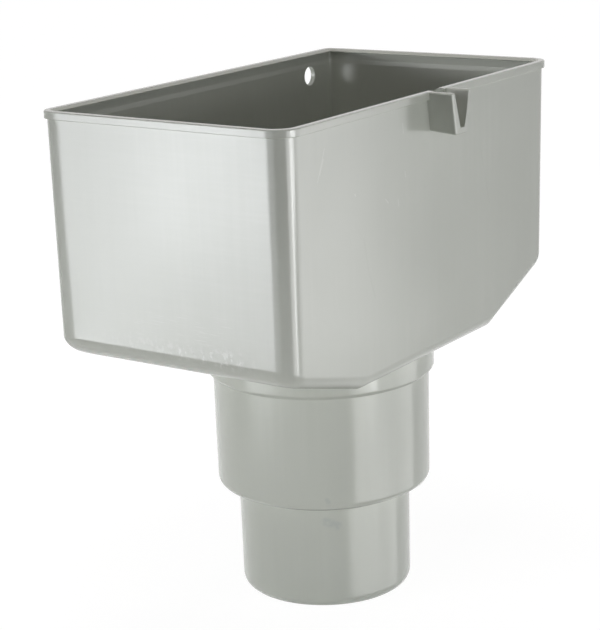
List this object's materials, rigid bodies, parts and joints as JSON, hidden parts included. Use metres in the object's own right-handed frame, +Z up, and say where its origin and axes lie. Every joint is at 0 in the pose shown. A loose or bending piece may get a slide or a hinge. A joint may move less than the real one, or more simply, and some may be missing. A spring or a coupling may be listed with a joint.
{
  "type": "downpipe hopper head",
  "caption": "Moulded grey PVC rainwater hopper head: open rectangular tub with lipped rim, funnel floor, stepped round outlet and front strap channel.",
  "frame": {"origin": "on the outlet's axis, in the plane of the outlet's lower end", "axes": "+Z up along the outlet's axis, +Y towards the wall that the tub's back is screwed to, +X along the rim"},
  "size_m": [0.224, 0.1393, 0.235],
  "materials": {
    "grey_pvc": "satin, lightly scuffed"
  },
  "bodies": {
    "root": {"hopper_head": "grey_pvc"}
  },
  "joints": []
}
